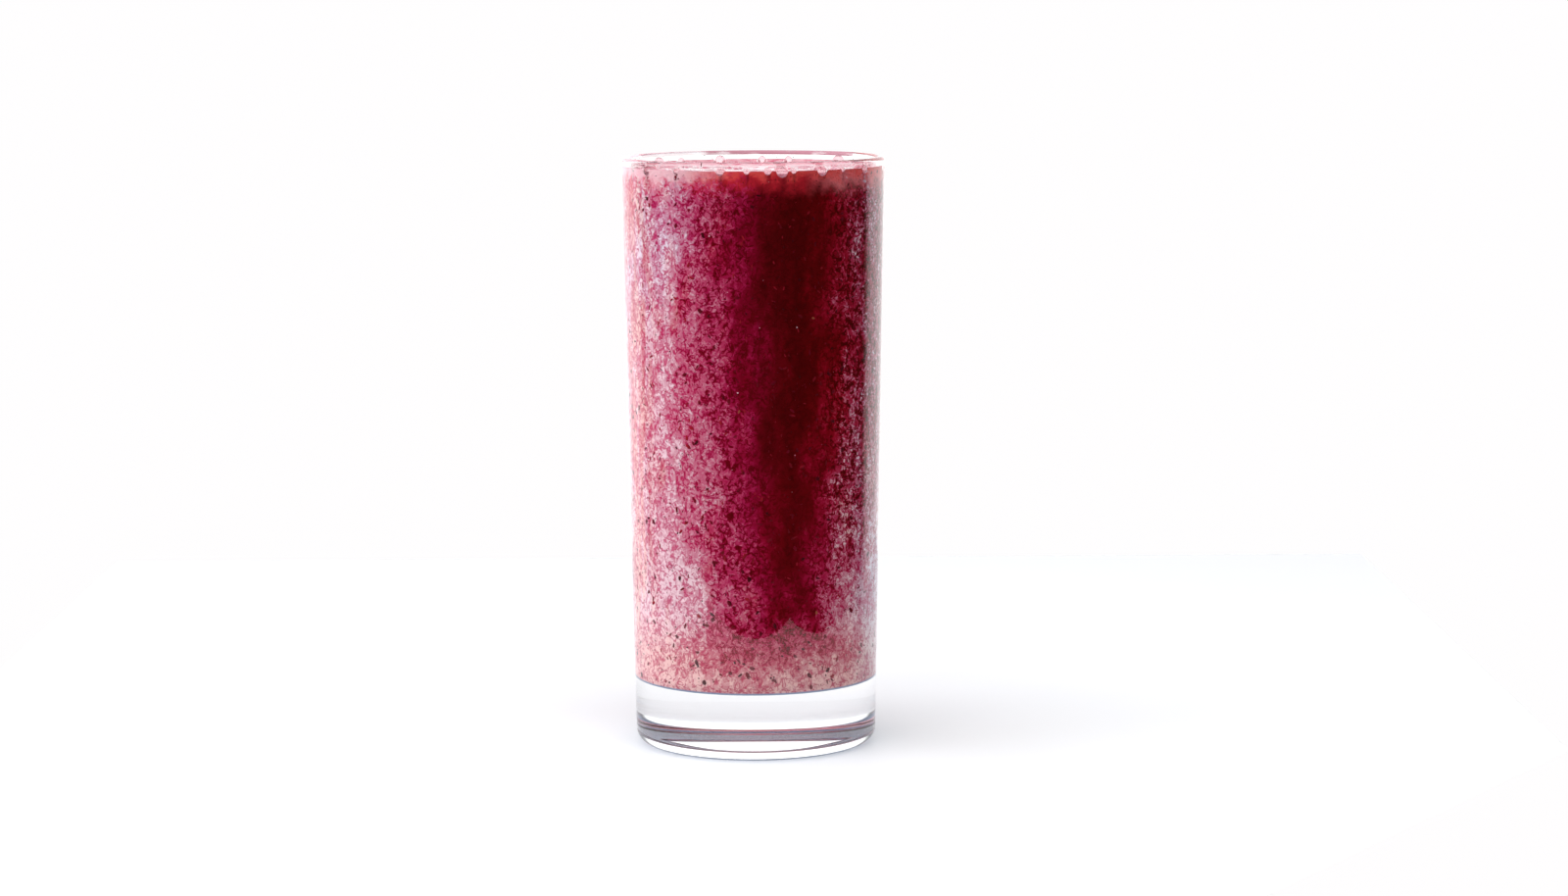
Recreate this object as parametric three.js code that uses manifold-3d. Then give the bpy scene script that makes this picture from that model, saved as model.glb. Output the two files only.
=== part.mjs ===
// A tall tumbler of berry smoothie, filled almost to the brim.
// Millimetres, +Z up, origin at the centre of the foot, where the glass stands. The photographed side faces -Y.
import * as THREE from "three";
import { mergeVertices } from "three/addons/utils/BufferGeometryUtils.js";
import Module from "manifold-3d";

// Tumbler: a straight cone, a little narrower at the foot, with a thick clear base.
const GLASS_HEIGHT = 146;
const RIM_RADIUS = 32.5;
const FOOT_RADIUS = 29.85;
const WALL_AT_RIM = 1.9;
const WALL_AT_BASE = 2.3;
const BASE_THICKNESS = 16.4;
const INNER_CORNER_RADIUS = 2.6;
const INNER_FLOOR_DIP = 0.5;
const FOOT_CORNER_RADIUS = 3.8;
const PUNT_RADIUS = 17;
const PUNT_DEPTH = 1;
const GLASS_SIDES = 96;

// Smoothie: fills the inside, with a clearance to the glass that keeps the two solids apart.
const CLEARANCE = 0.3;
const FILL_LEVEL = 143.1;
const MENISCUS_HEIGHT = 0.8;
const MENISCUS_WIDTH = 2.4;
const FROTH_SWELL = 0.22;
const DRINK_SIDES = 72;
const TOP_RINGS = 10;

// Large bubbles at the wall, in the order they stand from left to right at the front:
// [degrees round from the front, bubble radius].
const FRONT_BUBBLES = [
  [-14.7, 1.2],
  [-2.8, 0.85],
  [6.5, 1.05],
  [13.0, 1.75],
  [18.3, 0.8],
  [32.1, 1.55],
  [43.7, 0.75],
];
// Elsewhere the ring of bubbles carries on by rule, in the froth's own uneven spacing.
const REAR_BUBBLES = 15;
const REAR_START = 62;
const REAR_END = 328;
const REAR_RADIUS_MIN = 0.8;
const REAR_RADIUS_MAX = 1.6;
const BUBBLE_LIFT = 0.55;

// Seeded draws, so that every run gives the same froth.
function makeRandom(seed) {
  let state = seed;
  return () => {
    state = (state * 1664525 + 1013904223) % 4294967296;
    return state / 4294967296;
  };
}

function outerRadiusAt(z) {
  return FOOT_RADIUS + ((RIM_RADIUS - FOOT_RADIUS) * z) / GLASS_HEIGHT;
}

function innerRadiusAt(z) {
  const up = (z - BASE_THICKNESS) / (GLASS_HEIGHT - BASE_THICKNESS);
  return outerRadiusAt(z) - THREE.MathUtils.lerp(WALL_AT_BASE, WALL_AT_RIM, up);
}

// Points on an arc round (r, z), from one angle to another in degrees, both ends included.
function arc(r, z, radius, from, to, steps) {
  return Array.from({ length: steps + 1 }, (_, i) => {
    const angle = THREE.MathUtils.degToRad(THREE.MathUtils.lerp(from, to, i / steps));
    return new THREE.Vector2(r + radius * Math.cos(angle), z + radius * Math.sin(angle));
  });
}

// Turns a profile of (radius, height) points round +Z into one closed geometry without repeated vertices.
function turn(profile, sides) {
  const lathe = new THREE.LatheGeometry(profile, sides).rotateX(Math.PI / 2);
  lathe.deleteAttribute("normal");
  lathe.deleteAttribute("uv");
  return withoutSlivers(mergeVertices(lathe, 1e-3));
}

// Drops the triangles that the axis of a lathe folds flat.
function withoutSlivers(geometry) {
  const kept = [];
  const index = geometry.index.array;
  for (let i = 0; i < index.length; i += 3) {
    const [a, b, c] = index.subarray(i, i + 3);
    if (a !== b && b !== c && c !== a) kept.push(a, b, c);
  }
  return geometry.setIndex(kept);
}

// The underside: a shallow dome in the middle, then the flat ring that the glass stands on.
function undersideProfile() {
  const steps = 5;
  return Array.from({ length: steps + 1 }, (_, i) => {
    const share = i / steps;
    return new THREE.Vector2(PUNT_RADIUS * share, PUNT_DEPTH * Math.cos((share * Math.PI) / 2));
  });
}

function glassProfile() {
  const footCorner = FOOT_CORNER_RADIUS;
  const rimRound = WALL_AT_RIM / 2;
  const rimCentre = GLASS_HEIGHT - rimRound;
  const floorEdge = innerRadiusAt(BASE_THICKNESS) - INNER_CORNER_RADIUS;
  const cornerCentre = BASE_THICKNESS + INNER_CORNER_RADIUS;
  return [
    ...undersideProfile(),
    ...arc(outerRadiusAt(footCorner) - footCorner, footCorner, footCorner, -90, 0, 5),
    ...arc(outerRadiusAt(rimCentre) - rimRound, rimCentre, rimRound, 0, 180, 6),
    ...arc(floorEdge, cornerCentre, INNER_CORNER_RADIUS, 0, -90, 3),
    new THREE.Vector2(floorEdge * 0.5, BASE_THICKNESS - INNER_FLOOR_DIP * 0.75),
    new THREE.Vector2(0, BASE_THICKNESS - INNER_FLOOR_DIP),
  ];
}

// How high the froth stands at a radius: flat in the middle, climbing the wall at the edge.
function surfaceAt(radius) {
  const edge = innerRadiusAt(FILL_LEVEL) - CLEARANCE;
  const climb = THREE.MathUtils.clamp(1 - (edge - radius) / MENISCUS_WIDTH, 0, 1);
  return FILL_LEVEL + MENISCUS_HEIGHT * climb * climb;
}

function drinkProfile() {
  const floor = BASE_THICKNESS + CLEARANCE;
  const corner = INNER_CORNER_RADIUS;
  const floorEdge = innerRadiusAt(BASE_THICKNESS) - CLEARANCE - corner;
  const edgeHeight = FILL_LEVEL + MENISCUS_HEIGHT;
  const edge = innerRadiusAt(edgeHeight) - CLEARANCE;
  const top = Array.from({ length: TOP_RINGS }, (_, i) => {
    const radius = edge * (1 - ((i + 1) / TOP_RINGS) ** 1.4);
    return new THREE.Vector2(radius, surfaceAt(radius));
  });
  top[TOP_RINGS - 1].x = 0;
  return [
    new THREE.Vector2(0, floor - INNER_FLOOR_DIP),
    new THREE.Vector2(floorEdge * 0.5, floor - INNER_FLOOR_DIP * 0.75),
    ...arc(floorEdge, floor + corner, corner, -90, 0, 3),
    new THREE.Vector2(edge, edgeHeight),
    ...top,
  ];
}

// Slow swells over the froth, so that its top isn't a machined plane. The wall and the axis stay put.
function swell(geometry) {
  const place = geometry.getAttribute("position");
  for (let i = 0; i < place.count; i++) {
    const x = place.getX(i);
    const y = place.getY(i);
    const radius = Math.hypot(x, y) / RIM_RADIUS;
    if (place.getZ(i) < FILL_LEVEL - 1) continue;
    const wave = Math.sin(0.21 * x + 1.3) * Math.cos(0.17 * y - 0.4) + 0.6 * Math.sin(0.33 * (x + y));
    place.setZ(i, place.getZ(i) + FROTH_SWELL * wave * Math.min(1, 3 * radius) * (1 - radius));
  }
  return geometry;
}

// Where each large bubble stands: the ones seen at the front, then the rest of the ring.
function bubblePlaces() {
  const random = makeRandom(7);
  const rear = Array.from({ length: REAR_BUBBLES }, (_, i) => {
    const step = (REAR_END - REAR_START) / (REAR_BUBBLES - 1);
    const degrees = REAR_START + step * (i + 0.6 * (random() - 0.5));
    return [degrees, THREE.MathUtils.lerp(REAR_RADIUS_MIN, REAR_RADIUS_MAX, random() ** 2)];
  });
  return [...FRONT_BUBBLES, ...rear];
}

const wasm = await Module();
wasm.setup();

function toSolid(geometry) {
  return new wasm.Manifold(
    new wasm.Mesh({
      numProp: 3,
      vertProperties: new Float32Array(geometry.getAttribute("position").array),
      triVerts: new Uint32Array(geometry.index.array),
    }),
  );
}

function toGeometry(solid) {
  const mesh = solid.getMesh();
  return new THREE.BufferGeometry()
    .setAttribute("position", new THREE.BufferAttribute(mesh.vertProperties, 3))
    .setIndex(new THREE.BufferAttribute(mesh.triVerts, 1));
}

// One bubble: a ball half sunk in the edge of the froth, just clear of the wall.
function bubble([degrees, radius]) {
  const detail = radius > 1 ? 2 : 1;
  const ball = new THREE.IcosahedronGeometry(radius, detail);
  ball.deleteAttribute("normal");
  ball.deleteAttribute("uv");
  const height = FILL_LEVEL + BUBBLE_LIFT;
  const reach = innerRadiusAt(height) - CLEARANCE - radius - 0.15;
  const angle = THREE.MathUtils.degToRad(degrees);
  ball.translate(reach * Math.sin(angle), -reach * Math.cos(angle), height);
  return toSolid(mergeVertices(ball, 1e-4));
}

function makeDrink() {
  const body = toSolid(swell(turn(drinkProfile(), DRINK_SIDES)));
  return toGeometry(bubblePlaces().reduce((all, place) => all.add(bubble(place)), body));
}

function makeMesh(name, geometry, material) {
  const mesh = new THREE.Mesh(geometry, material);
  mesh.name = name;
  return mesh;
}

const clearGlass = new THREE.MeshStandardMaterial({
  color: 0xf2f6f7,
  roughness: 0.04,
  metalness: 0,
  transparent: true,
  opacity: 0.3,
});
const berrySmoothie = new THREE.MeshStandardMaterial({ color: 0xa8325c, roughness: 0.5, metalness: 0 });

const tumblerOfSmoothie = new THREE.Group();
tumblerOfSmoothie.add(makeMesh("glass", turn(glassProfile(), GLASS_SIDES), clearGlass));
tumblerOfSmoothie.add(makeMesh("smoothie", makeDrink(), berrySmoothie));

export default tumblerOfSmoothie;
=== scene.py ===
"""A tall tumbler of berry smoothie, dressed round its CAD solids: glass, pulpy drink, froth and flecks."""

import math
from typing import NamedTuple

import bmesh
import bpy
import numpy as np
from mathutils import Matrix, Vector


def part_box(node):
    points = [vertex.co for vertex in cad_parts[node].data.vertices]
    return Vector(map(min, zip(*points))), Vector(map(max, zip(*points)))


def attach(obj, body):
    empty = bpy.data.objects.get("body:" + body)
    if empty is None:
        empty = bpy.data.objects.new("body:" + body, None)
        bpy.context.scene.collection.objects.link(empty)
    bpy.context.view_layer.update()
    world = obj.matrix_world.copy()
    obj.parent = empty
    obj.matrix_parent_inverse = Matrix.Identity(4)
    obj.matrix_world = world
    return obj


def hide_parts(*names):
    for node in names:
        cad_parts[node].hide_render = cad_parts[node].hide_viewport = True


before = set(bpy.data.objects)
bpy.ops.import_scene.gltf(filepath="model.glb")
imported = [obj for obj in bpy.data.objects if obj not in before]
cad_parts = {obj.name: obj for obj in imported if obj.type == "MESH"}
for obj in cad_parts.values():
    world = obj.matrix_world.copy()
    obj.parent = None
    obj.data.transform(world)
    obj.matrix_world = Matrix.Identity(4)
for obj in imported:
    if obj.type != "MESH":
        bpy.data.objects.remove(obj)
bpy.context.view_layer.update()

MM = 0.001

# Tumbler, in metres. Its height comes from the frame.
GLASS_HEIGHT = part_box("glass")[1].z
RIM_RADIUS = 32.5 * MM
FOOT_RADIUS = 29.85 * MM
WALL_AT_RIM = 1.9 * MM
WALL_AT_BASE = 2.3 * MM
BASE_THICKNESS = 16.4 * MM
INNER_CORNER_RADIUS = 2.6 * MM
INNER_FLOOR_DIP = 0.5 * MM
FOOT_CORNER_RADIUS = 3.8 * MM
PUNT_RADIUS = 17.0 * MM
PUNT_DEPTH = 1.0 * MM
GLASS_SIDES = 256

# Smoothie. It reaches a little into the wall, so that no film of air shows between drink and glass.
WALL_REACH = 0.12 * MM
FILL_LEVEL = 143.1 * MM
MENISCUS_HEIGHT = 0.8 * MM
MENISCUS_WIDTH = 2.4 * MM
SWELL_HEIGHT = 0.2 * MM
DRINK_SIDES = 600
FROTH_RINGS = 105

# Material slots of the drink's mesh.
WALL_SLOT = 0
FROTH_SLOT = 1
FOAM_AND_BACKLIGHT_SLOT = 2

# Small bubbles in the froth, as low caps: a crowd along the wall, and a few rafts. Radii are in millimetres.
WALL_DOMES = 200
WALL_DOME_RADII = (0.22, 0.6)
WALL_DOME_SPREAD = 2.6 * MM
WALL_DOME_GAP = 0.2 * MM
RAFTS = 4
RAFT_DOMES = 40
RAFT_DOME_RADII = (0.2, 0.75)
RAFT_SPREADS = (2.0, 5.5)
RAFT_GAP = 0.5 * MM
DOME_HEIGHT = 0.45
DOME_SINK = 0.08

# Large bubbles at the front of the rim, from left to right: (degrees round from the front, radius in mm).
FRONT_BUBBLES = [
    (-14.7, 1.2),
    (-2.8, 0.85),
    (6.5, 1.05),
    (13.0, 1.75),
    (18.3, 0.8),
    (32.1, 1.55),
    (43.7, 0.75),
]
REAR_BUBBLES = 15
REAR_START = 62
REAR_END = 328
REAR_RADIUS_MIN = 0.8
REAR_RADIUS_MAX = 1.6
REAR_UNEVENNESS = 0.6
BUBBLE_LIFT = 0.55 * MM
BUBBLE_FILM = 0.1 * MM
BUBBLE_GAP = 0.03 * MM
BUBBLE_DETAIL = 4

# The ring's draws come from the same linear congruential generator as the solid's.
BUBBLE_SEED = 7
DRAW_FACTOR = 1664525
DRAW_STEP = 1013904223
DRAW_RANGE = 2**32

# As shares of a large bubble's radius: how far its middle stands from the wall, and the reach of the cup it
# sits in and of the pale foam round it, whose white is partly painted light for the backlight through the
# bubble.
BUBBLE_PRESS = 0.7
CUP_SPREAD = 1.1
FOAM_AND_BACKLIGHT_SPREAD = 1.3

# A thin pink film on the lip at the back: where it runs, in degrees round from the front, and how far off
# the lip it stands.
RIM_FILM_FROM = 125
RIM_FILM_TO = 245
RIM_FILM_LIFT = 0.03 * MM

# Flecks at the wall. Most are small: a draw from 0 to 1 is raised to FLECK_BIAS before it sets the length.
# Those that stand upright lean by UPRIGHT_SPREAD radians or so.
FLECK_SEED = 11
FLECK_BIAS = 2.2
FLECK_HALF_DEPTH = 0.1 * MM
FLECK_SINK = 0.05 * MM
RIM_SPECK_SINK = 0.2 * MM
UPRIGHT_SPREAD = 0.5
DRINK_HEIGHTS = (18 * MM, 143 * MM)
BARE_WALL_HEIGHTS = (FILL_LEVEL + 1.0 * MM, 145.2 * MM)


class Fleck(NamedTuple):
    """A kind of fleck. Lengths are half lengths in millimetres, and widths are shares of the length."""

    name: str
    looks: str
    count: int
    lengths: tuple
    widths: tuple
    detail: int = 2
    roughness: float = 0.0
    upright: float = 0.0
    heights: tuple = DRINK_HEIGHTS
    sink: float = FLECK_SINK


FLECKS = (
    Fleck("skin_flakes", "berry_skin", 1100, (0.2, 0.8), (0.3, 0.8), roughness=0.2),
    Fleck("skin_grains", "berry_skin", 2200, (0.12, 0.32), (0.35, 0.9), detail=1, roughness=0.1),
    Fleck("pulp_bits", "berry_pulp", 1500, (0.2, 0.8), (0.25, 0.6), roughness=0.16, upright=0.5),
    Fleck("berry_seeds", "berry_seed", 10, (0.45, 0.6), (0.55, 0.7), roughness=0.03),
    Fleck("air_beads", "air_bubble", 90, (0.08, 0.24), (0.8, 1.0)),
    Fleck(
        "rim_specks", "berry_skin", 70, (0.08, 0.22), (0.5, 0.9), detail=1, roughness=0.1,
        heights=BARE_WALL_HEIGHTS, sink=RIM_SPECK_SINK,
    ),
)

# Looks of flecks: a dark and a light colour, the size in mm over which they shift, and how rough they are.
FLECK_LOOKS = {
    "berry_skin": ((0.05, 0.0005, 0.002), (0.18, 0.001, 0.012), 3.0, 0.5),
    "berry_pulp": ((0.14, 0.002, 0.008), (0.34, 0.008, 0.02), 3.0, 0.5),
    "berry_seed": ((0.20, 0.035, 0.02), (0.34, 0.08, 0.04), 5.0, 0.5),
    "air_bubble": ((0.55, 0.16, 0.22), (0.85, 0.55, 0.62), 5.0, 0.2),
}

# Glass, bubbles and froth.
GLASS_COLOUR = (0.985, 0.992, 0.992, 1)
CLEAR_SHADE = (0.82, 0.83, 0.85, 1)
MIST_DEPTH = 0.04 * MM
MIST_SIZE = 1.5
MIST_STARTS = (32.0, 64.0)
MIST_ENDS = (142.0, 138.0)
BUBBLE_COLOUR = (1.0, 0.97, 0.975, 1)
JUICE_COLOUR = (0.85, 0.12, 0.25, 1)
JUICE_DENSITY = 1800
RIM_FILM_COLOUR = (0.50, 0.24, 0.29, 1)
MAGENTA = (0.60, 0.09, 0.17)
ROSE = (0.66, 0.20, 0.27)
PALE_PINK = (0.76, 0.42, 0.47)
# Pale foam round the large bubbles; its white is partly painted light, for the backlight through them.
PINK_FOAM = (0.95, 0.50, 0.55)
WHITE_FOAM_AND_BACKLIGHT = (1.0, 0.86, 0.87)

# The drink's colours, from its dark heart, partly painted shade, to pulp that is full of foam.
DRINK_TONES = (
    # The darkest tones, laid right of the front, are painted shade over the juice's own deep crimson.
    (0.0, (0.085, 0.0009, 0.0020)),
    (0.15, (0.15, 0.0014, 0.006)),
    (0.3, (0.26, 0.002, 0.022)),
    (0.45, (0.42, 0.010, 0.065)),
    (0.6, (0.53, 0.048, 0.125)),
    (0.75, (0.60, 0.145, 0.225)),
    (0.88, (0.66, 0.28, 0.345)),
    (1.0, (0.88, 0.60, 0.64)),
)

# Tints that the tones are multiplied by, some of them painted light and shade, and colours of the top edge
# and of the floor.
SALMON = (0.98, 0.84, 0.73)
# Painted light: a cool lilac for the bluish window light on the upper left and the reflection at the right
# edge.
LILAC_PAINTED_LIGHT = (0.90, 1.25, 1.35)
# Painted shade: a purer red for the dark front right of the middle, where only red light gets through.
SHADE_RED = (1.05, 0.8, 0.5)
# Painted light: the top of the drink lightened to red, as if lit through the froth from above.
TOP_GLOW = (0.72, 0.022, 0.040)
TOP_SALMON = (0.95, 0.22, 0.24)
EDGE_FOAM = (0.92, 0.52, 0.55)
EDGE_RED = (1.0, 0.10, 0.09)
# Painted shade: the drink's floor is bluish grey, so that through the base it shows as the shaded table
# behind.
FLOOR_PAINTED_SHADE = (0.27, 0.33, 0.46)

# Where the drink is paler: foam, and also painted light on the lit left, at the right edge and low down,
# where light comes up through the base; what stays dark between is painted shade. Each is (start, end, share
# at start, share at end), with places in millimetres across to the right, deep to the back, or up. The
# borders wander by noise, and the left one leans lower down.
FOAM_AND_LIT_LEFT = (7.0, -22.0, 0.0, 0.86)
FOAM_AND_LIT_RIGHT = (11.0, 26.5, 0.0, 0.52)
FOAM_AND_BOUNCE_LOW = (95.0, 45.0, 0.0, 0.32)
FOAM_AND_BOUNCE_LOW_ACROSS = (8.0, 18.0)
FOAM_BACK = (4.0, 20.0, 0.0, 0.6)
FOAM_AND_BASE_LIGHT_BOTTOM = (39.0, 21.0, 0.0, 0.8)
FOAM_AND_BOUNCE_LOWER_HALF = (60.0, 30.0, 0.0, 0.08)
FOAM_AND_LIGHT_WANDER = 24.0
FOAM_AND_LIGHT_LEAN = (90.0, 40.0, 0.0, 5.5)

# Where each tint shows, written the same way. Patches and streaks are ranges of a noise.
SALMON_PATCHES = (0.52, 0.66, 0.0, 0.8)
# Painted light: the bottom turns salmon as if lit through the glass base.
SALMON_BASE_LIGHT_BOTTOM = (36.0, 25.0, 0.0, 0.9)
LIMB_ACROSS = (-22.0, -26.0)
LIMB_STREAKS = (0.42, 0.58)
# Painted light: lilac where the window light falls on the upper left, and a painted reflection at the right
# edge.
LILAC_LIGHT_ACROSS = (-8.0, -20.0)
LILAC_LIGHT_UP = (98.0, 125.0)
LILAC_LIGHT_PATCHES = (0.54, 0.42, 0.0, 0.5)
LILAC_LIGHT_RIGHT = (22.0, 27.0, 0.0, 0.8)
# Painted shade: where the purer red of the shaded front shows.
SHADE_RED_ACROSS = (1.0, 13.0)
SHADE_RED_TONES = (0.75, 0.35)
SHADE_RED_UP = (45.0, 80.0, 0.3, 1.0)
# Painted light: where the glow at the top shows.
GLOW_ACROSS = (12.0, 20.0)
GLOW_UP = (136.5, 143.5)
GLOW_LUMPS = 9.0
EDGE_ACROSS = (-17.0, -5.0)
EDGE_UP = (139.6, 143.0, 0.0, 0.9)
EDGE_DROP = 1.5
# Up to this height the drink's floor carries its painted shade.
FLOOR_UP = (17.1, 16.7)

# Threads of foam and gaps of clear juice between them: (size, width, shift of the noise) in millimetres.
THREADS = ((2.0, 0.22, 3.1), (1.4, 0.17, 7.7), (3.2, 0.34, 31.0))
GAPS = ((2.3, 0.3, 12.9), (1.5, 0.24, 17.3))
TALL_GAPS = (1.9, 0.28, 23.9)

# How much each kind of texture shifts the tone, and where the texture is weaker or stronger.
GRAIN_SHARE = 0.11
CLOT_SHARE = 0.13
THREAD_SHARE = 0.2
GAP_SHARE = 0.42
STREAK_UP = (50.0, 80.0, 0.0, 0.2)
STREAK_FOAM = (0.4, 0.8)
CLEAR_STRENGTH = (0.06, 0.55, 0.2, 1.0)
FOAMY_STRENGTH = (0.5, 0.9, 1.0, 0.62)
SHARPER_ACROSS = (16.0, 21.0, 0.0, 0.9)
SHARPER_UP = (35.0, 62.0)
TONE_LIFT = 0.04

# Camera, from the ellipses of rim and foot and the sides' slope in the 1600 x 914 photograph.
CAMERA_DISTANCE = 935 * MM
CAMERA_HEIGHT = 189.7 * MM
CAMERA_PITCH = 7.08
CAMERA_YAW = 0.45
CAMERA_ROLL = -0.28
CAMERA_LENS = 87.0
CAMERA_SENSOR = 36.0

# Lamps: name, place, what it faces, width, height, radiance and colour.
LAMPS = (
    ("window", (-1.0, 0.14, 0.325), (0, 0.14, 0.325), 1.52, 1.35, 3.4, (0.90, 0.94, 1.0)),
    ("fill", (0.9, 0.75, 0.25), (0, 0, 0.07), 0.6, 0.7, 2.5, (0.95, 0.93, 1.0)),
    ("overhead", (0.0, -0.55, 1.2), (0, -0.1, 0), 1.8, 1.0, 3.6, (1, 1, 1)),
)

# The room: a bright backdrop ahead, up to a soft edge, a bluish ceiling, and a dim front. Its borders are
# sines of angles.
BACKDROP_COLOUR = (1, 0.99, 0.995, 1)
BACKDROP_AHEAD = (0.42, 0.6)
BACKDROP_UP = (0.55, 0.4)
BACK_GLOW = 1.4
FRONT_GLOW = 0.02
CEILING_GLOW = 0.4
CEILING_UP = (0.8, 0.9)
CEILING_SHADE = (0.45, 0.75, 1.0)

# Table, in metres. Its front right corner is cut, as the glass would mirror it over the dark of the drink.
TABLE_X = (-0.21, 0.2)
TABLE_Y = (-0.175, 0.3)
TABLE_CUT = (0.1, 0.155)
TABLE_COLOURS = ((0.885, 0.885, 0.89), (0.91, 0.905, 0.91))


def outer_radius(z):
    return FOOT_RADIUS + (RIM_RADIUS - FOOT_RADIUS) * z / GLASS_HEIGHT


def inner_radius(z):
    up = (z - BASE_THICKNESS) / (GLASS_HEIGHT - BASE_THICKNESS)
    return outer_radius(z) - (WALL_AT_BASE + (WALL_AT_RIM - WALL_AT_BASE) * up)


def drink_radius(z):
    return inner_radius(z) + WALL_REACH


def arc(r, z, radius, start, end, steps):
    """Points (r, z) on an arc, from one angle to another in degrees, both ends included."""
    angles = np.radians(np.linspace(start, end, steps + 1))
    return [(r + radius * math.cos(a), z + radius * math.sin(a)) for a in angles]


def straight(start, end, steps, guard=0.02):
    """Points between two others, which are left out, with a guard by each so that shading stays crisp."""
    shares = [guard / steps, *np.linspace(0, 1, steps + 1)[1:-1], 1 - guard / steps]
    return [(start[0] + (end[0] - start[0]) * s, start[1] + (end[1] - start[1]) * s) for s in shares]


def bowed(edge, z, shares):
    """Points on the inner floor, from the middle out to its edge or back, bowed down in the middle."""
    return [(edge * s, z - INNER_FLOOR_DIP * (1 - s * s)) for s in shares]


def mesh_object(name, vertices, faces, materials, smooth=True):
    mesh = bpy.data.meshes.new(name)
    mesh.from_pydata([tuple(v) for v in vertices], [], [tuple(f) for f in faces])
    if smooth:
        mesh.shade_smooth()
    else:
        mesh.shade_flat()
    for material in materials:
        mesh.materials.append(material)
    piece = bpy.data.objects.new(name, mesh)
    bpy.context.scene.collection.objects.link(piece)
    return piece


def lathe(name, profile, sides, materials):
    """Turns a profile of (radius, height) points round Z. A point on the axis becomes a single vertex."""
    turn = np.linspace(0, 2 * math.pi, sides, endpoint=False)
    vertices, rings = [], []
    for r, z in profile:
        count = 1 if r < 1e-9 else sides
        rings.append(np.full(sides, len(vertices)) + (np.arange(sides) if count > 1 else 0))
        vertices += [(r * math.sin(a), -r * math.cos(a), z) for a in turn[:count]]
    faces = []
    for lower, upper in zip(rings, rings[1:]):
        for i in range(sides):
            j = (i + 1) % sides
            corners = [lower[i], lower[j], upper[j], upper[i]]
            faces.append(list(dict.fromkeys(int(c) for c in corners)))
    return mesh_object(name, vertices, faces, materials)


def glass_profile():
    """From the middle of the underside over the foot, up the wall, over the rim and down to the axis."""
    punt = [(PUNT_RADIUS * s, PUNT_DEPTH * math.cos(s * math.pi / 2)) for s in np.linspace(0, 1, 20)]
    corner = FOOT_CORNER_RADIUS
    foot = arc(outer_radius(corner) - corner, corner, corner, -90, 0, 10)
    lip = WALL_AT_RIM / 2
    lip_centre = GLASS_HEIGHT - lip
    rim = arc(outer_radius(lip_centre) - lip, lip_centre, lip, 0, 180, 20)
    floor_edge = inner_radius(BASE_THICKNESS) - INNER_CORNER_RADIUS
    inside = arc(floor_edge, BASE_THICKNESS + INNER_CORNER_RADIUS, INNER_CORNER_RADIUS, 0, -90, 12)
    return [
        *punt,
        *straight(punt[-1], foot[0], 4),
        *foot,
        *straight(foot[-1], rim[0], 40),
        *rim,
        *straight(rim[-1], inside[0], 40),
        *inside,
        *bowed(floor_edge, BASE_THICKNESS, np.linspace(0.96, 0, 16)),
    ]


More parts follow.
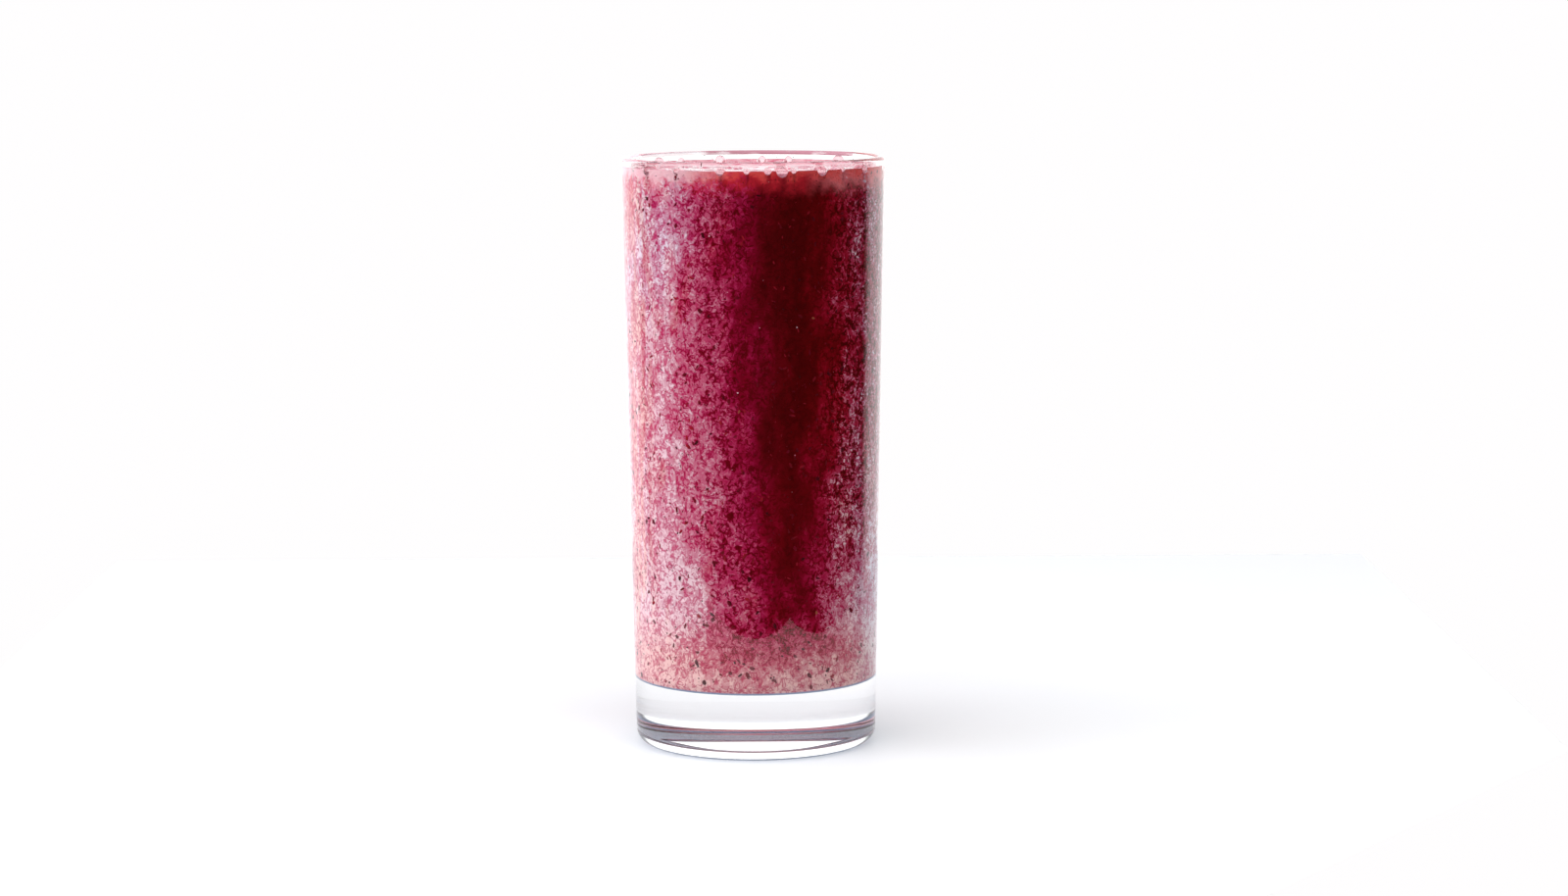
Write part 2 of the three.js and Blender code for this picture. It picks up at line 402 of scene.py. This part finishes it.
class Nodes:
    """Short calls for building the nodes of a material or a world. Sizes are in millimetres."""

    def __init__(self, owner, output="ShaderNodeOutputMaterial"):
        owner.use_nodes = True
        self.owner = owner
        self.tree = owner.node_tree
        self.tree.nodes.clear()
        self.output = self.tree.nodes.new(output)

    def add(self, kind, **settings):
        """A node, with its attributes and inputs set. Spaces in an input's name become underscores."""
        node = self.tree.nodes.new(kind)
        for key, value in settings.items():
            if hasattr(node, key):
                setattr(node, key, value)
            else:
                self.feed(node.inputs[key.replace("_", " ")], value)
        return node

    def feed(self, socket, value):
        if isinstance(value, bpy.types.NodeSocket):
            self.tree.links.new(value, socket)
        else:
            socket.default_value = value

    def place(self, stretch=(1, 1, 1)):
        """The surface's place, squeezed or stretched along each axis."""
        coordinates = self.add("ShaderNodeTexCoord").outputs["Object"]
        mapping = self.add("ShaderNodeMapping", Vector=coordinates)
        mapping.inputs["Scale"].default_value = [s / MM for s in stretch]
        return mapping.outputs[0]

    def axes(self):
        """The surface's place across to the right, deep to the back, and up."""
        return self.add("ShaderNodeSeparateXYZ", Vector=self.place()).outputs

    def noise(self, vector, size, detail=2.0, roughness=0.5, distortion=0.0):
        """Noise with features of about this size."""
        return self.add(
            "ShaderNodeTexNoise", Vector=vector, Scale=1 / size, Detail=detail,
            Roughness=roughness, Distortion=distortion,
        ).outputs["Fac"]

    def map_range(self, kind, value, start, end, to_start, to_end):
        node = self.add("ShaderNodeMapRange", interpolation_type=kind, Value=value)
        limits = {"From Min": start, "From Max": end, "To Min": to_start, "To Max": to_end}
        for name, limit in limits.items():
            node.inputs[name].default_value = limit
        return node.outputs[0]

    def ramp(self, value, start, end, to_start=0.0, to_end=1.0):
        """A smooth curve from one value to another, held level outside start..end."""
        return self.map_range("SMOOTHSTEP", value, start, end, to_start, to_end)

    def slope(self, value, start, end, to_start=0.0, to_end=1.0):
        """A straight slope from one value to another, held level outside start..end."""
        return self.map_range("LINEAR", value, start, end, to_start, to_end)

    def math(self, operation, first, *others):
        """An operation that takes in one value after another."""
        for other in others:
            node = self.add("ShaderNodeMath", operation=operation)
            self.feed(node.inputs[0], first)
            self.feed(node.inputs[1], other)
            first = node.outputs[0]
        return first

    def total(self, *values):
        return self.math("ADD", *values)

    def less(self, *values):
        return self.math("SUBTRACT", *values)

    def product(self, *values):
        return self.math("MULTIPLY", *values)

    def largest(self, *values):
        return self.math("MAXIMUM", *values)

    def mix(self, factor, a, b, blend="MIX"):
        node = self.add("ShaderNodeMix", data_type="RGBA", blend_type=blend)
        self.feed(node.inputs[0], factor)
        self.feed(node.inputs[6], a if isinstance(a, bpy.types.NodeSocket) else (*a, 1))
        self.feed(node.inputs[7], b if isinstance(b, bpy.types.NodeSocket) else (*b, 1))
        return node.outputs[2]

    def mix_shaders(self, factor, a, b):
        node = self.add("ShaderNodeMixShader")
        for socket, value in zip(node.inputs, (factor, a, b)):
            self.feed(socket, value)
        return node.outputs[0]

    def moved(self, vector, offset):
        node = self.add("ShaderNodeVectorMath", operation="ADD")
        self.feed(node.inputs[0], vector)
        self.feed(node.inputs[1], offset)
        return node.outputs["Vector"]

    def curls(self, vector, size, width, shift):
        """Short curly threads: stretches of the lines along which a noise crosses its middle value."""
        place = self.moved(vector, (shift, -shift, 0.7 * shift))
        field = self.noise(place, size, detail=1.0, distortion=0.5)
        away = self.math("ABSOLUTE", self.less(field, 0.5), 0.0)
        line = self.ramp(away, 0.0, 0.45 * width / size, 1.0, 0.0)
        broken = self.noise(self.moved(place, (9.0, 5.0, 3.0)), 0.9 * size, detail=0.0)
        return self.product(line, self.ramp(broken, 0.46, 0.56))

    def tones(self, value, stops):
        """Colours along 0..1, from (place, colour) stops."""
        node = self.add("ShaderNodeValToRGB", Fac=value)
        elements = node.color_ramp.elements
        elements[0].position, elements[0].color = stops[0][0], (*stops[0][1], 1)
        elements[1].position, elements[1].color = stops[-1][0], (*stops[-1][1], 1)
        for place, colour in stops[1:-1]:
            elements.new(place).color = (*colour, 1)
        return node.outputs["Color"]

    def bump(self, shader, height, strength, depth):
        """Gives a shader relief, as deep as depth in metres."""
        node = self.add("ShaderNodeBump", Height=height, Strength=strength, Distance=depth)
        self.feed(shader.inputs["Normal"], node.outputs[0])

    def finish(self, surface):
        self.tree.links.new(surface, self.output.inputs["Surface"])
        return self.owner


def material_nodes(name):
    return Nodes(bpy.data.materials.new(name))


def clear_shader(nodes, colour, refraction):
    shader = nodes.add("ShaderNodeBsdfPrincipled", Roughness=0.0, IOR=refraction)
    shader.inputs["Base Color"].default_value = colour
    shader.inputs["Transmission Weight"].default_value = 1.0
    return shader


def let_light_in(nodes, shader):
    """Lamps and diffuse light pass clear matter straight, so that what it holds is lit without speckle."""
    path = nodes.add("ShaderNodeLightPath")
    open_way = nodes.add("ShaderNodeBsdfTransparent", Color=CLEAR_SHADE).outputs[0]
    for ray in ("Is Diffuse Ray", "Is Shadow Ray"):
        shader = nodes.mix_shaders(path.outputs[ray], shader, open_way)
    return shader


def glass_material():
    """Clear glass. Where the cold drink stands behind it, its outside is a little uneven with a fine mist."""
    nodes = material_nodes("clear_glass")
    shader = clear_shader(nodes, GLASS_COLOUR, 1.5)
    height = nodes.axes()[2]
    misted = nodes.product(nodes.ramp(height, *MIST_STARTS), nodes.ramp(height, *MIST_ENDS))
    mist = nodes.product(nodes.noise(nodes.place(), MIST_SIZE, roughness=0.6), misted)
    nodes.bump(shader, mist, 1.0, MIST_DEPTH)
    return nodes.finish(let_light_in(nodes, shader.outputs[0]))


def bubble_material():
    """A thin film that darkens to the juice's colour where it is seen edge on."""
    nodes = material_nodes("bubble_film")
    shader = clear_shader(nodes, BUBBLE_COLOUR, 1.34)
    juice = nodes.add("ShaderNodeVolumeAbsorption", Density=JUICE_DENSITY)
    juice.inputs["Color"].default_value = JUICE_COLOUR
    nodes.tree.links.new(juice.outputs[0], nodes.output.inputs["Volume"])
    return nodes.finish(let_light_in(nodes, shader.outputs[0]))


def foam_and_painted_light_share(nodes):
    """Foam and painted light, 0 to 1: palest on the lit left and at the bottom, darkest as painted shade
    right of the front.
    """
    across, deep, height = nodes.axes()
    wander = nodes.noise(nodes.place((1, 1, 0.45)), 6.0, detail=3.0, roughness=0.6)
    bend = nodes.product(nodes.less(wander, 0.5), FOAM_AND_LIGHT_WANDER)
    lean = nodes.slope(height, *FOAM_AND_LIGHT_LEAN)
    left = nodes.slope(nodes.total(nodes.less(across, lean), bend), *FOAM_AND_LIT_LEFT)
    right = nodes.slope(nodes.total(across, bend), *FOAM_AND_LIT_RIGHT)
    low_right = nodes.product(nodes.slope(height, *FOAM_AND_BOUNCE_LOW), nodes.slope(across, *FOAM_AND_BOUNCE_LOW_ACROSS))
    back = nodes.slope(nodes.total(deep, bend), *FOAM_BACK)
    bottom = nodes.slope(nodes.total(height, nodes.product(bend, 0.8)), *FOAM_AND_BASE_LIGHT_BOTTOM)
    foam = nodes.largest(left, nodes.total(right, low_right), back, bottom)
    return nodes.total(foam, nodes.slope(height, *FOAM_AND_BOUNCE_LOWER_HALF))


def drink_tint(nodes, tone):
    """Salmon patches; painted light: salmon bottom, lilac upper left and right edge, top glow; painted shade:
    purer red, grey floor.
    """
    across, _, height = nodes.axes()
    patches = nodes.noise(nodes.place((1, 1, 0.45)), 9.0, detail=3.0, roughness=0.6)
    streaks = nodes.noise(nodes.place((1, 1, 0.12)), 2.2)
    limb = nodes.product(nodes.slope(across, *LIMB_ACROSS), nodes.ramp(streaks, *LIMB_STREAKS))
    # Salmon patches are the drink's own; salmon low down is painted light from the base.
    salmon_and_base_light = nodes.largest(nodes.ramp(patches, *SALMON_PATCHES), nodes.slope(height, *SALMON_BASE_LIGHT_BOTTOM), limb)
    # Painted light: lilac for the window light at the upper left and the reflection at the right edge.
    upper_left = nodes.product(nodes.slope(across, *LILAC_LIGHT_ACROSS), nodes.slope(height, *LILAC_LIGHT_UP))
    lilac_light = nodes.product(upper_left, nodes.ramp(patches, *LILAC_LIGHT_PATCHES))
    lilac_light = nodes.largest(lilac_light, nodes.slope(across, *LILAC_LIGHT_RIGHT))
    # Painted shade: the dark front right of the middle is turned a purer red.
    shade_red = nodes.product(nodes.slope(across, *SHADE_RED_ACROSS), nodes.ramp(tone, *SHADE_RED_TONES))
    shade_red = nodes.product(shade_red, nodes.slope(height, *SHADE_RED_UP))
    colour = nodes.tones(tone, DRINK_TONES)
    for share, tint in ((salmon_and_base_light, SALMON), (lilac_light, LILAC_PAINTED_LIGHT), (shade_red, SHADE_RED)):
        colour = nodes.mix(share, colour, nodes.mix(1.0, colour, tint, "MULTIPLY"))
    # Painted light: the drink glows red just under the froth.
    lumps = nodes.noise(nodes.place(), 3.4, detail=3.0, roughness=0.6)
    uneven = nodes.total(height, nodes.product(nodes.less(lumps, 0.5), GLOW_LUMPS))
    glow = nodes.mix(nodes.slope(across, *GLOW_ACROSS), TOP_GLOW, TOP_SALMON)
    colour = nodes.mix(nodes.ramp(uneven, *GLOW_UP), colour, glow, "LIGHTEN")
    sideways = nodes.slope(across, *EDGE_ACROSS)
    edge = nodes.mix(sideways, EDGE_FOAM, EDGE_RED)
    edge_height = nodes.less(uneven, nodes.product(sideways, EDGE_DROP))
    colour = nodes.mix(nodes.ramp(edge_height, *EDGE_UP), colour, edge)
    # Painted shade: the drink's floor is painted bluish grey.
    return nodes.mix(nodes.ramp(height, *FLOOR_UP), colour, FLOOR_PAINTED_SHADE)


def drink_looks(nodes):
    """Colour and relief: a curdled mix of clear crimson juice and pale foamy pulp with curly threads, on
    painted light and shade.
    """
    even = nodes.place()
    across, _, height = nodes.axes()
    # Foam share with painted light: pale where lamps and light through the base fall, dark as painted shade.
    foam = foam_and_painted_light_share(nodes)
    fine = nodes.noise(even, 1.4, detail=1.5, distortion=1.6)
    grain = nodes.ramp(fine, 0.36, 0.64, -0.5, 0.5)
    clots = nodes.ramp(nodes.noise(nodes.place((1, 1, 0.6)), 5.0), 0.36, 0.64, -0.5, 0.5)
    threads = nodes.largest(*(nodes.curls(even, *sizes) for sizes in THREADS))
    gaps = nodes.largest(*(nodes.curls(even, *sizes) for sizes in GAPS))
    gaps = nodes.largest(gaps, nodes.curls(nodes.place((1, 1, 0.7)), *TALL_GAPS))
    streaks = nodes.ramp(nodes.noise(nodes.place((1, 1, 0.09)), 3.2), 0.54, 0.68)
    streaks = nodes.product(streaks, nodes.slope(height, *STREAK_UP), nodes.slope(foam, *STREAK_FOAM))
    raised = ((grain, GRAIN_SHARE), (clots, CLOT_SHARE), (threads, THREAD_SHARE))
    texture = nodes.total(*(nodes.product(*kind) for kind in raised))
    texture = nodes.less(texture, nodes.product(gaps, GAP_SHARE), streaks)
    strength = nodes.product(nodes.ramp(foam, *CLEAR_STRENGTH), nodes.ramp(foam, *FOAMY_STRENGTH))
    sharper = nodes.product(nodes.slope(across, *SHARPER_ACROSS), nodes.ramp(height, *SHARPER_UP))
    strength = nodes.product(strength, nodes.total(sharper, 1.0))
    tone = nodes.total(foam, TONE_LIFT, nodes.product(texture, strength))
    return drink_tint(nodes, tone), nodes.less(threads, gaps)


def drink_material():
    nodes = material_nodes("smoothie_at_wall")
    colour, relief = drink_looks(nodes)
    shader = nodes.add("ShaderNodeBsdfPrincipled", Roughness=0.45, Base_Color=colour)
    shader.inputs["Specular IOR Level"].default_value = 0.0
    nodes.bump(shader, relief, 0.6, 0.1 * MM)
    return nodes.finish(shader.outputs[0])


def froth_material():
    """Wet froth, clouded in three pinks."""
    nodes = material_nodes("smoothie_froth")
    even = nodes.place()
    swirl = nodes.noise(even, 7.0, detail=4.0, roughness=0.6, distortion=1.5)
    colour = nodes.mix(nodes.ramp(swirl, 0.4, 0.62), MAGENTA, ROSE)
    foam = nodes.noise(even, 2.4, detail=4.0, roughness=0.7)
    colour = nodes.mix(nodes.ramp(foam, 0.34, 0.6), colour, PALE_PINK)
    shader = nodes.add("ShaderNodeBsdfPrincipled", Roughness=0.04, IOR=1.36, Base_Color=colour)
    shader.inputs["Subsurface Weight"].default_value = 0.3
    shader.inputs["Subsurface Radius"].default_value = (1.0, 0.35, 0.4)
    shader.inputs["Subsurface Scale"].default_value = 1.0 * MM
    nodes.bump(shader, nodes.noise(even, 0.35), 0.1, 0.05 * MM)
    return nodes.finish(shader.outputs[0])


def rim_film_material():
    """A thin see-through pink film, fading out towards its ends."""
    nodes = material_nodes("rim_film")
    across = nodes.axes()[0]
    uneven = nodes.ramp(nodes.noise(nodes.place((1, 1, 3)), 6.0, detail=3.0), 0.3, 0.5, 0.6, 1.0)
    left_end = nodes.ramp(across, -14.0, -11.0, 0.35, 1.0)
    ends = nodes.product(left_end, nodes.ramp(across, 29.0, 22.0))
    clear = nodes.add("ShaderNodeBsdfTransparent").outputs[0]
    pink_film = nodes.add("ShaderNodeBsdfDiffuse")
    pink_film.inputs["Color"].default_value = RIM_FILM_COLOUR
    return nodes.finish(nodes.mix_shaders(nodes.product(uneven, ends), clear, pink_film.outputs[0]))


def foam_and_backlight_material():
    """Fine white foam, tinged with pink. Its white is partly painted light, for backlight through the large
    bubbles.
    """
    nodes = material_nodes("pale_foam_and_backlight")
    beads = nodes.noise(nodes.place(), 0.5, detail=1.0)
    colour = nodes.mix(nodes.ramp(beads, 0.35, 0.6), PINK_FOAM, WHITE_FOAM_AND_BACKLIGHT)
    shader = nodes.add("ShaderNodeBsdfPrincipled", Roughness=0.25, IOR=1.36, Base_Color=colour)
    return nodes.finish(shader.outputs[0])


def speck_material(name, dark, light, size, roughness):
    """Small solid things, each a little different, as noise wider than one of them shifts its colour."""
    nodes = material_nodes(name)
    shade = nodes.noise(nodes.place(), size, detail=1.0)
    colour = nodes.mix(nodes.ramp(shade, 0.35, 0.65), dark, light)
    shader = nodes.add("ShaderNodeBsdfPrincipled", Roughness=roughness, Base_Color=colour)
    shader.inputs["Specular IOR Level"].default_value = 0.1
    return nodes.finish(shader.outputs[0])


def big_bubbles():
    """(degrees, radius) of each large bubble: those at the front, then the ring by the solid's own rule."""
    state = BUBBLE_SEED

    def draw():
        nonlocal state
        state = (state * DRAW_FACTOR + DRAW_STEP) % DRAW_RANGE
        return state / DRAW_RANGE

    step = (REAR_END - REAR_START) / (REAR_BUBBLES - 1)
    places = [(degrees, radius * MM) for degrees, radius in FRONT_BUBBLES]
    for i in range(REAR_BUBBLES):
        degrees = REAR_START + step * (i + REAR_UNEVENNESS * (draw() - 0.5))
        radius = REAR_RADIUS_MIN + (REAR_RADIUS_MAX - REAR_RADIUS_MIN) * draw() ** 2
        places.append((degrees, radius * MM))
    return places


def bubble_centre(degrees, radius):
    height = FILL_LEVEL + BUBBLE_LIFT
    reach = inner_radius(height) - BUBBLE_PRESS * radius
    angle = math.radians(degrees)
    return np.array([reach * math.sin(angle), -reach * math.cos(angle), height])


def swells(x, y):
    """The slow swells of the solid's froth, in waves of so many radians to the metre."""
    return np.sin(210 * x + 1.3) * np.cos(170 * y - 0.4) + 0.6 * np.sin(330 * (x + y))


def froth_height(x, y, domes):
    """Height of the froth over the fill level: meniscus, swells, caps of small bubbles, cups of large."""
    radius = np.hypot(x, y)
    edge = drink_radius(FILL_LEVEL)
    climb = np.clip(1 - (edge - radius) / MENISCUS_WIDTH, 0, 1)
    height = MENISCUS_HEIGHT * climb**2 + SWELL_HEIGHT * swells(x, y) * (1 - radius / RIM_RADIUS)
    lift = np.zeros_like(height)
    for cx, cy, r in domes:
        near = np.flatnonzero((np.abs(x - cx) < r) & (np.abs(y - cy) < r))
        away = (x[near] - cx) ** 2 + (y[near] - cy) ** 2
        inside = near[away < r * r]
        cap = DOME_HEIGHT * np.sqrt(r * r - away[away < r * r]) - DOME_SINK * r
        lift[inside] = np.maximum(lift[inside], cap)
    height += lift * (1 - 0.6 * climb)
    for degrees, size in big_bubbles():
        cx, cy, cz = bubble_centre(degrees, size)
        away = (x - cx) ** 2 + (y - cy) ** 2
        inside = away < (CUP_SPREAD * size) ** 2
        cup = cz - FILL_LEVEL - np.sqrt((CUP_SPREAD * size) ** 2 - away[inside])
        height[inside] = np.minimum(height[inside], cup)
    return height


def froth_domes(random):
    """(x, y, radius) of small bubbles: crowded at the wall and in a few rafts, sparse between."""
    edge = drink_radius(FILL_LEVEL)
    rafts = []
    for _ in range(RAFTS):
        angle = random.uniform(0, 2 * math.pi)
        rafts.append((angle, edge * math.sqrt(random.uniform(0, 0.9))))
    domes = []
    for _ in range(WALL_DOMES):
        angle = random.uniform(0, 2 * math.pi)
        reach = edge - abs(random.normal(0, WALL_DOME_SPREAD)) - WALL_DOME_GAP
        radius = random.uniform(*WALL_DOME_RADII) * MM
        domes.append((reach * math.cos(angle), reach * math.sin(angle), radius))
    for angle, reach in rafts:
        spread = random.uniform(*RAFT_SPREADS) * MM
        for _ in range(RAFT_DOMES):
            x = reach * math.cos(angle) + random.normal(0, spread)
            y = reach * math.sin(angle) + random.normal(0, spread)
            if math.hypot(x, y) < edge - RAFT_GAP:
                domes.append((x, y, random.uniform(*RAFT_DOME_RADII) * MM))
    return domes


def near_bubbles(x, y):
    """Which of these places lie in the pale foam round a large bubble, whose white is partly painted light.
    """
    inside = np.zeros(len(x), dtype=bool)
    for degrees, radius in big_bubbles():
        cx, cy, _ = bubble_centre(degrees, radius)
        inside |= np.hypot(x - cx, y - cy) < FOAM_AND_BACKLIGHT_SPREAD * radius
    return inside


def read_rows(items, what):
    """A property of three numbers, read from every vertex or face of a mesh."""
    values = np.zeros(len(items) * 3)
    items.foreach_get(what, values)
    return values.reshape(-1, 3)


def drink_profile():
    """From the middle of the floor, round the corner and up the wall, short of the froth's edge."""
    floor = BASE_THICKNESS - WALL_REACH
    corner = INNER_CORNER_RADIUS
    floor_edge = drink_radius(BASE_THICKNESS) - corner
    top_edge = FILL_LEVEL + MENISCUS_HEIGHT
    bend = arc(floor_edge, floor + corner, corner, -90, 0, 8)
    wall = straight(bend[-1], (drink_radius(top_edge), top_edge), 24)
    return [*bowed(floor_edge, floor, np.linspace(0, 0.96, 8)), *bend, *wall]


def make_drink(wall_material, top_material, foam, domes):
    """The smoothie: a straight wall inside the glass, and a froth of fine rings, notched by its bubbles."""
    profile = drink_profile()
    top_edge = FILL_LEVEL + MENISCUS_HEIGHT
    edge = drink_radius(top_edge)
    rings = [(edge * (1 - i / FROTH_RINGS), top_edge) for i in range(FROTH_RINGS)] + [(0.0, top_edge)]
    materials = [wall_material, top_material, foam]
    piece = lathe("smoothie_body", [*profile, *rings], DRINK_SIDES, materials)
    mesh = piece.data
    place = read_rows(mesh.vertices, "co")
    first = 1 + (len(profile) - 1) * DRINK_SIDES
    top = place[first:]
    top[:, 2] = FILL_LEVEL + froth_height(top[:, 0], top[:, 1], domes)
    side = place[:first]
    froth_edge = np.tile(top[:DRINK_SIDES, 2], 1 + first // DRINK_SIDES)[-first:]
    side[:, 2] = np.minimum(side[:, 2], froth_edge)
    mesh.vertices.foreach_set("co", place.ravel())
    centres = read_rows(mesh.polygons, "center")
    foamy = near_bubbles(centres[:, 0], centres[:, 1])
    slots = np.where(foamy, FOAM_AND_BACKLIGHT_SLOT, FROTH_SLOT).astype(np.int32)
    slots[: DRINK_SIDES * (len(profile) - 1)] = WALL_SLOT
    mesh.polygons.foreach_set("material_index", slots)
    mesh.update()
    return piece


def ball(detail):
    """Unit icosphere as arrays of vertices and triangles."""
    shape = bmesh.new()
    bmesh.ops.create_icosphere(shape, subdivisions=detail, radius=1.0)
    vertices = np.array([v.co[:] for v in shape.verts])
    faces = np.array([[v.index for v in f.verts] for f in shape.faces])
    shape.free()
    return vertices, faces


def join_shapes(name, shapes, material):
    """One mesh of many (vertices, faces) shapes."""
    all_vertices, all_faces, count = [], [], 0
    for vertices, faces in shapes:
        all_vertices.append(vertices)
        all_faces.append(faces + count)
        count += len(vertices)
    return mesh_object(name, np.vstack(all_vertices), np.vstack(all_faces), [material])


def on_wall(angle, z, sizes, spin, depth):
    """A lump flat against the wall: half sizes along the wall, across it and into it, turned by spin."""
    outward = np.array([math.sin(angle), -math.cos(angle), 0.0])
    along = np.array([math.cos(angle), math.sin(angle), 0.0])
    up = np.array([0.0, 0.0, 1.0])
    first = math.cos(spin) * along + math.sin(spin) * up
    second = -math.sin(spin) * along + math.cos(spin) * up
    centre = outward * (drink_radius(z) - depth) + up * z
    return centre, [first * sizes[0], second * sizes[1], outward * sizes[2]]


def wall_lumps(kind, random):
    """(centre, three axes scaled to the half sizes) of each fleck of a kind, all over the wall."""
    lumps = []
    for _ in range(kind.count):
        size = kind.lengths[0] + (kind.lengths[1] - kind.lengths[0]) * random.uniform() ** FLECK_BIAS
        narrow = size * random.uniform(*kind.widths)
        spin = random.uniform(0, math.pi)
        if random.uniform() < kind.upright:
            spin = random.normal(math.pi / 2, UPRIGHT_SPREAD)
        angle = random.uniform(0, 2 * math.pi)
        sizes = (size * MM, narrow * MM, FLECK_HALF_DEPTH)
        lumps.append(on_wall(angle, random.uniform(*kind.heights), sizes, spin, kind.sink))
    return lumps


def make_flecks(kind, material, random):
    """One mesh of all the flecks of a kind: balls, roughened and pressed flat."""
    vertices, faces = ball(kind.detail)
    shapes = []
    for centre, axes in wall_lumps(kind, random):
        rough = vertices * (1 + kind.roughness * random.normal(0, 1, (len(vertices), 1)).clip(-2, 2))
        shapes.append((rough @ np.array(axes) + centre, faces))
    return join_shapes(kind.name, shapes, material)


def make_rim_film(material):
    """A pink film on the inner side of the lip at the back, where it shows over the front rim."""
    lip = WALL_AT_RIM / 2
    lip_centre = GLASS_HEIGHT - lip
    section = arc(outer_radius(lip_centre) - lip, lip_centre, lip + RIM_FILM_LIFT, 88, 180, 8)
    angles = np.radians(np.linspace(RIM_FILM_FROM, RIM_FILM_TO, 80))
    vertices = [(r * math.sin(a), -r * math.cos(a), z) for a in angles for r, z in section]
    width = len(section)
    firsts = [i * width + k for i in range(len(angles) - 1) for k in range(width - 1)]
    faces = [(f, f + 1, f + width + 1, f + width) for f in firsts]
    return mesh_object("rim_film", vertices, faces, [material])


def flatten(vertices, gap):
    """Presses vertices that would pass into the wall flat against it, a gap away."""
    reach = np.hypot(vertices[:, 0], vertices[:, 1])
    limit = np.minimum(reach, inner_radius(vertices[:, 2]) - gap)
    vertices[:, :2] *= (limit / reach)[:, None]
    return vertices


def bubble_shell(degrees, radius):
    """A thin bubble: an outer skin, and an inner one facing inwards."""
    centre = bubble_centre(degrees, radius)
    vertices, faces = ball(BUBBLE_DETAIL)
    outer = flatten(vertices * radius + centre, BUBBLE_GAP)
    inner = flatten(vertices * (radius - BUBBLE_FILM) + centre, BUBBLE_GAP + BUBBLE_FILM)
    return np.vstack([outer, inner]), np.vstack([faces, faces[:, ::-1] + len(vertices)])


def make_camera():
    pitch, yaw, roll = (math.radians(a) for a in (CAMERA_PITCH, CAMERA_YAW, CAMERA_ROLL))
    forward = Vector((math.sin(yaw) * math.cos(pitch), math.cos(yaw) * math.cos(pitch), -math.sin(pitch)))
    right = Vector((math.cos(yaw), -math.sin(yaw), 0))
    up = right.cross(forward)
    tilted_right = math.cos(roll) * right + math.sin(roll) * up
    tilted_up = -math.sin(roll) * right + math.cos(roll) * up
    data = bpy.data.cameras.new("camera")
    data.lens = CAMERA_LENS
    data.sensor_width = CAMERA_SENSOR
    camera = bpy.data.objects.new("camera", data)
    turned = Matrix((tilted_right, tilted_up, -forward)).transposed().to_4x4()
    camera.matrix_world = Matrix.Translation((0, -CAMERA_DISTANCE, CAMERA_HEIGHT)) @ turned
    bpy.context.scene.collection.objects.link(camera)
    bpy.context.scene.camera = camera


def make_lamp(name, place, target, width, height, radiance, colour):
    """A soft rectangular lamp that faces target and shines with this radiance. Gloss doesn't mirror it."""
    data = bpy.data.lights.new(name, "AREA")
    data.color = colour
    data.shape = "RECTANGLE"
    data.size = width
    data.size_y = height
    data.energy = radiance * width * height * math.pi
    lamp = bpy.data.objects.new(name, data)
    lamp.location = place
    lamp.rotation_euler = (Vector(target) - Vector(place)).to_track_quat("-Z", "Y").to_euler()
    lamp.visible_camera = False
    lamp.visible_glossy = False
    lamp.visible_transmission = False
    bpy.context.scene.collection.objects.link(lamp)


def make_light():
    """A bright backdrop behind, a wide window on the left, a soft light overhead, and a dim room in front."""
    world = bpy.data.worlds.new("studio")
    bpy.context.scene.world = world
    nodes = Nodes(world, "ShaderNodeOutputWorld")
    direction = nodes.add("ShaderNodeTexCoord").outputs["Generated"]
    _, ahead, up = nodes.add("ShaderNodeSeparateXYZ", Vector=direction).outputs
    behind = nodes.product(nodes.ramp(ahead, *BACKDROP_AHEAD), nodes.ramp(up, *BACKDROP_UP))
    glow = nodes.slope(behind, 0.0, 1.0, FRONT_GLOW, BACK_GLOW)
    ceiling = nodes.slope(up, *CEILING_UP, 0.0, CEILING_GLOW)
    shade = nodes.mix(ceiling, (1, 1, 1), CEILING_SHADE)
    brightness = nodes.largest(glow, ceiling)
    room = nodes.add("ShaderNodeBackground", Color=shade, Strength=brightness).outputs[0]
    backdrop = nodes.add("ShaderNodeBackground", Color=BACKDROP_COLOUR).outputs[0]
    seen = nodes.add("ShaderNodeLightPath").outputs["Is Camera Ray"]
    nodes.finish(nodes.mix_shaders(seen, room, backdrop))
    for lamp in LAMPS:
        make_lamp(*lamp)


def make_floor():
    nodes = material_nodes("white_table")
    colour = nodes.mix(nodes.noise(nodes.place(), 60.0), *TABLE_COLOURS)
    shader = nodes.add("ShaderNodeBsdfPrincipled", Roughness=0.55, Base_Color=colour)
    material = nodes.finish(shader.outputs[0])
    left, right = TABLE_X
    front, far = TABLE_Y
    cut_x, cut_y = TABLE_CUT
    outline = [(left, front), (right - cut_x, front), (right, front + cut_y), (right, far), (left, far)]
    corners = [(x, y, 0) for x, y in outline]
    mesh_object("table", corners, [range(len(corners))], [material], smooth=False)


def dress(piece, slot, *nodes):
    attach(piece, "root")
    if nodes:
        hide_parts(*nodes)


def main():
    random = np.random.RandomState(FLECK_SEED)
    make_camera()
    make_light()
    make_floor()
    dress(lathe("tumbler", glass_profile(), GLASS_SIDES, [glass_material()]), "glass", "glass")
    drink = make_drink(drink_material(), froth_material(), foam_and_backlight_material(), froth_domes(random))
    dress(drink, "smoothie", "smoothie")
    shells = [bubble_shell(*bubble) for bubble in big_bubbles()]
    dress(join_shapes("froth_bubbles", shells, bubble_material()), "smoothie")
    materials = {name: speck_material(name, *looks) for name, looks in FLECK_LOOKS.items()}
    for kind in FLECKS:
        dress(make_flecks(kind, materials[kind.looks], random), "smoothie")
    dress(make_rim_film(rim_film_material()), "smoothie")
    bpy.context.scene.view_settings.view_transform = "Standard"


main()
